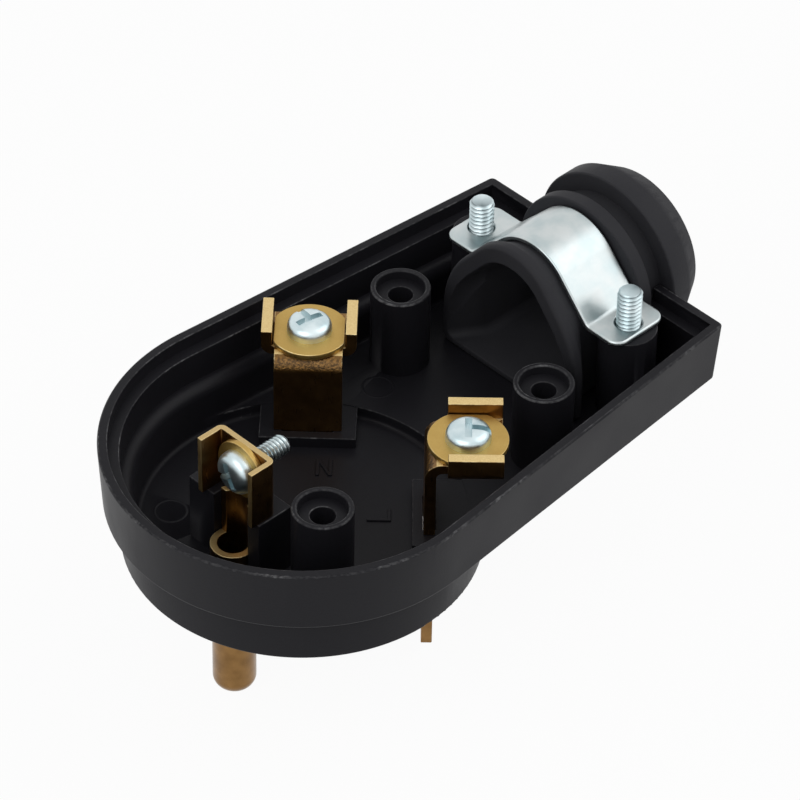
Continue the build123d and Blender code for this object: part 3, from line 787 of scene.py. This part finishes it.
line_letter = raised_letter(letter_l(*LETTER), LINE_MARK_TURN, LINE_MARK)
add_piece("line_mark", line_letter, black_plastic, "housing_plastic")
neutral_letter = raised_letter(letter_n(*LETTER), NEUTRAL_MARK_TURN, NEUTRAL_MARK)
add_piece("neutral_mark", neutral_letter, black_plastic, "housing_plastic")
ejector_ring = ring_tree()
for number, place in enumerate(EJECTOR_MARKS, 1):
    ring = grown(ejector_ring, dict(EJECTOR_RING, Plastic=black_plastic), f"ejector_mark_{number}")
    ring.transform(Matrix.Translation(Vector(place) * MM))
    add_piece(f"ejector_mark_{number}", ring, black_plastic, "housing_plastic")


# Floor, light and camera


def ray_mask(tree):
    """1 for camera, glossy and transmission rays, which see the white background."""
    path = tree.nodes.new("ShaderNodeLightPath").outputs
    seen = calc(tree, "MAXIMUM", path["Is Camera Ray"], path["Is Glossy Ray"])
    return calc(tree, "MAXIMUM", seen, path["Is Transmission Ray"])


def white_floor():
    """Matt floor at the tips of the pins, nearly plain white for the rays of ray_mask."""
    level = cad_box[0].z
    mesh = bpy.data.meshes.new("floor")
    signs = ((-1, -1), (1, -1), (1, 1), (-1, 1))
    points = [(x * FLOOR_HALF, y * FLOOR_HALF, level) for x, y in signs]
    mesh.from_pydata(points, [], [(0, 1, 2, 3)])
    floor = bpy.data.objects.new("floor", mesh)
    bpy.context.scene.collection.objects.link(floor)
    material, tree, shader = new_material("white_floor")
    shader.inputs["Base Color"].default_value = (*FLOOR_TONE, 1)
    shader.inputs["Roughness"].default_value = 0.9
    shader.inputs["Specular IOR Level"].default_value = 0.0
    glow = new_node(tree, "ShaderNodeEmission", Strength=1.0)
    blend = tree.nodes.new("ShaderNodeMixShader")
    tree.links.new(calc(tree, "MULTIPLY", ray_mask(tree), FLOOR_GLOW), blend.inputs[0])
    tree.links.new(shader.outputs[0], blend.inputs[1])
    tree.links.new(glow.outputs[0], blend.inputs[2])
    tree.links.new(blend.outputs[0], tree.nodes["Material Output"].inputs["Surface"])
    mesh.materials.append(material)


def white_world():
    """White surroundings, dimmer for the light that they throw on matt surfaces."""
    world = bpy.data.worlds.new("white_studio")
    bpy.context.scene.world = world
    world.use_nodes = True
    tree = world.node_tree
    background = tree.nodes["Background"]
    background.inputs["Color"].default_value = (1, 1, 1, 1)
    feed(tree, background.inputs["Strength"], span(tree, ray_mask(tree), FULL, (SKY_LEVEL, 1.0)))


def soft_lamp(name, place, power):
    """Round area lamp that looks at the middle of the plug."""
    middle = (cad_box[0] + cad_box[1]) / 2
    lamp = bpy.data.lights.new(name, "AREA")
    lamp.shape = "DISK"
    lamp.size = LAMP_SIZE
    lamp.energy = power
    holder = bpy.data.objects.new(name, lamp)
    holder.location = place
    holder.rotation_euler = (middle - Vector(place)).to_track_quat("-Z", "Y").to_euler()
    bpy.context.scene.collection.objects.link(holder)


def photo_camera():
    """Camera of the photo."""
    flat = cos(CAMERA_ELEVATION)
    back = Vector((sin(CAMERA_AZIMUTH) * flat, -cos(CAMERA_AZIMUTH) * flat, sin(CAMERA_ELEVATION)))
    turn = back.to_track_quat("Z", "Y").to_matrix().to_4x4() @ Matrix.Rotation(CAMERA_ROLL, 4, "Z")
    camera = bpy.data.cameras.new("camera")
    camera.lens = CAMERA_LENS
    camera.sensor_width = CAMERA_SENSOR
    camera.clip_start = CAMERA_NEAR
    holder = bpy.data.objects.new("camera", camera)
    holder.matrix_world = Matrix.Translation(CAMERA_TARGET + back * CAMERA_DISTANCE) @ turn
    bpy.context.scene.collection.objects.link(holder)
    bpy.context.scene.camera = holder


white_floor()
white_world()
soft_lamp("key_lamp", KEY_PLACE, KEY_POWER)
soft_lamp("fill_lamp", FILL_PLACE, FILL_POWER)
photo_camera()
bpy.context.scene.view_settings.view_transform = "Standard"

bpy.context.view_layer.update()
